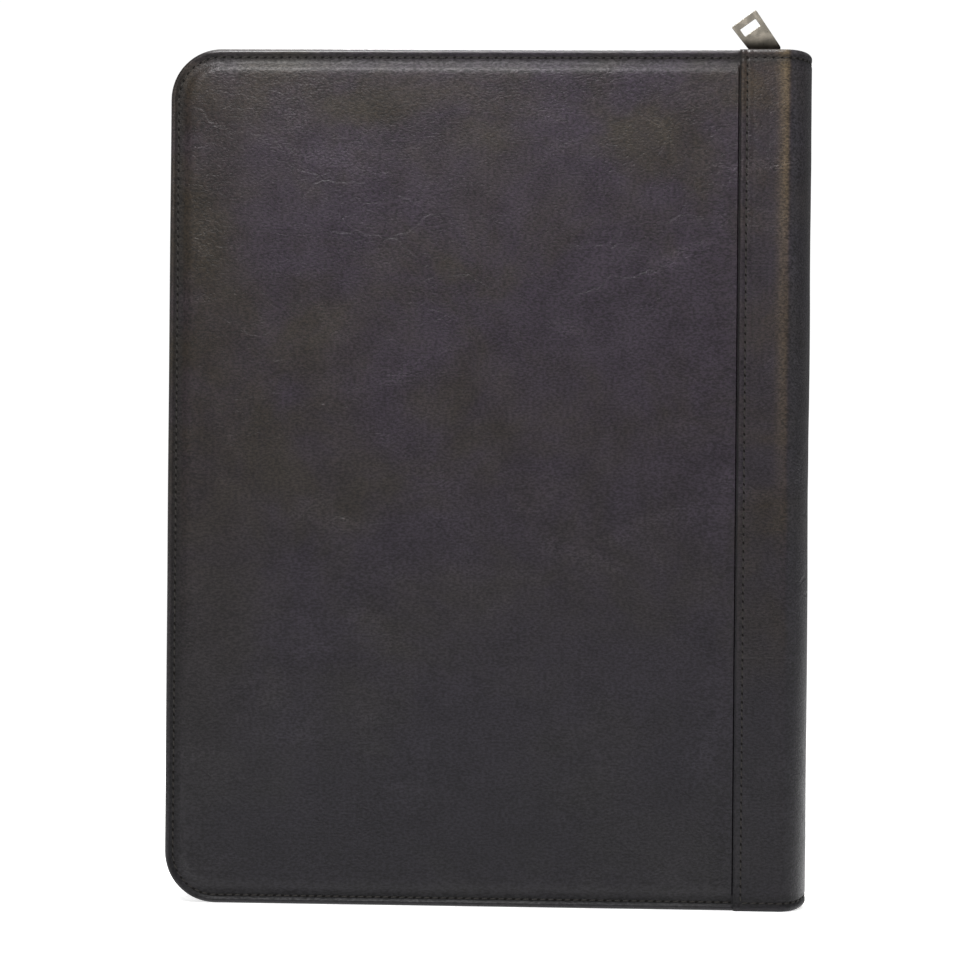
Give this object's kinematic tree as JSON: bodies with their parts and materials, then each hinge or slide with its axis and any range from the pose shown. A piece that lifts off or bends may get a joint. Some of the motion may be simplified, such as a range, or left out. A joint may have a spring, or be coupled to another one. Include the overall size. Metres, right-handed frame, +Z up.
{
  "type": "portfolio case",
  "caption": "Upright zip-around leather portfolio case with padded covers, rounded spine, sliding zip and a flat puller plate; the covers fold open flat at the spine.",
  "frame": {"origin": "middle of the closed case's foot, on the surface it stands on", "axes": "+Z up the case, +X towards the spine, -Y out of the front cover"},
  "size_m": [0.259, 0.036, 0.3634],
  "materials": {
    "cover_leather": "burnished charcoal leather, satin",
    "spine_leather": "burnished brown-black leather, satin",
    "pocket_leather": "smooth dark leather",
    "lining": "short-nap lining",
    "board": "grey board",
    "foam": "open foam padding",
    "zip_tape": "woven tape",
    "zip_metal": "antique nickel",
    "puller_metal": "satin antique nickel"
  },
  "bodies": {
    "back_cover": {"back_cover_leather": "cover_leather", "back_cover_foam": "foam", "back_cover_board": "board", "back_lining": "lining", "back_spine_flap": "spine_leather", "back_zip_tape": "zip_tape", "back_zip_teeth": "zip_metal", "back_top_stop": "zip_metal", "zip_bottom_stop": "zip_metal", "pad_sleeve": "pocket_leather"},
    "spine": {"spine_leather": "spine_leather", "spine_board": "board", "spine_lining": "lining"},
    "front_cover": {"front_cover_leather": "cover_leather", "front_cover_foam": "foam", "front_cover_board": "board", "front_lining": "lining", "front_spine_flap": "spine_leather", "front_zip_tape": "zip_tape", "front_zip_teeth": "zip_metal", "front_top_stop": "zip_metal", "document_pocket": "pocket_leather", "card_slots": "pocket_leather", "pen_loop": "pocket_leather"},
    "slider": {"slider_body": "zip_metal", "slider_bridge": "zip_metal"},
    "link": {"puller_link": "puller_metal"},
    "puller": {"puller": "puller_metal"}
  },
  "joints": [
    {"name": "back_fold", "type": "hinge", "parent": "back_cover", "child": "spine", "pos_m": [0.1255, 0.015, 0], "axis": [0, 0, 1], "range_deg": [0, 90]},
    {"name": "front_fold", "type": "hinge", "parent": "spine", "child": "front_cover", "pos_m": [0.1255, -0.015, 0], "axis": [0, 0, 1], "range_deg": [0, 90]},
    {"name": "zip_slide", "type": "slide", "parent": "back_cover", "child": "slider", "axis": [-1, 0, 0], "range_m": [0, 0.205]},
    {"name": "link_swing", "type": "hinge", "parent": "slider", "child": "link", "pos_m": [0.11935, 0, 0.34055], "axis": [0, -1, 0], "range_deg": [-70, 0]},
    {"name": "puller_swing", "type": "hinge", "parent": "link", "child": "puller", "pos_m": [0.11329, 0, 0.34405], "axis": [0, -1, 0], "range_deg": [-1, 49]}
  ]
}
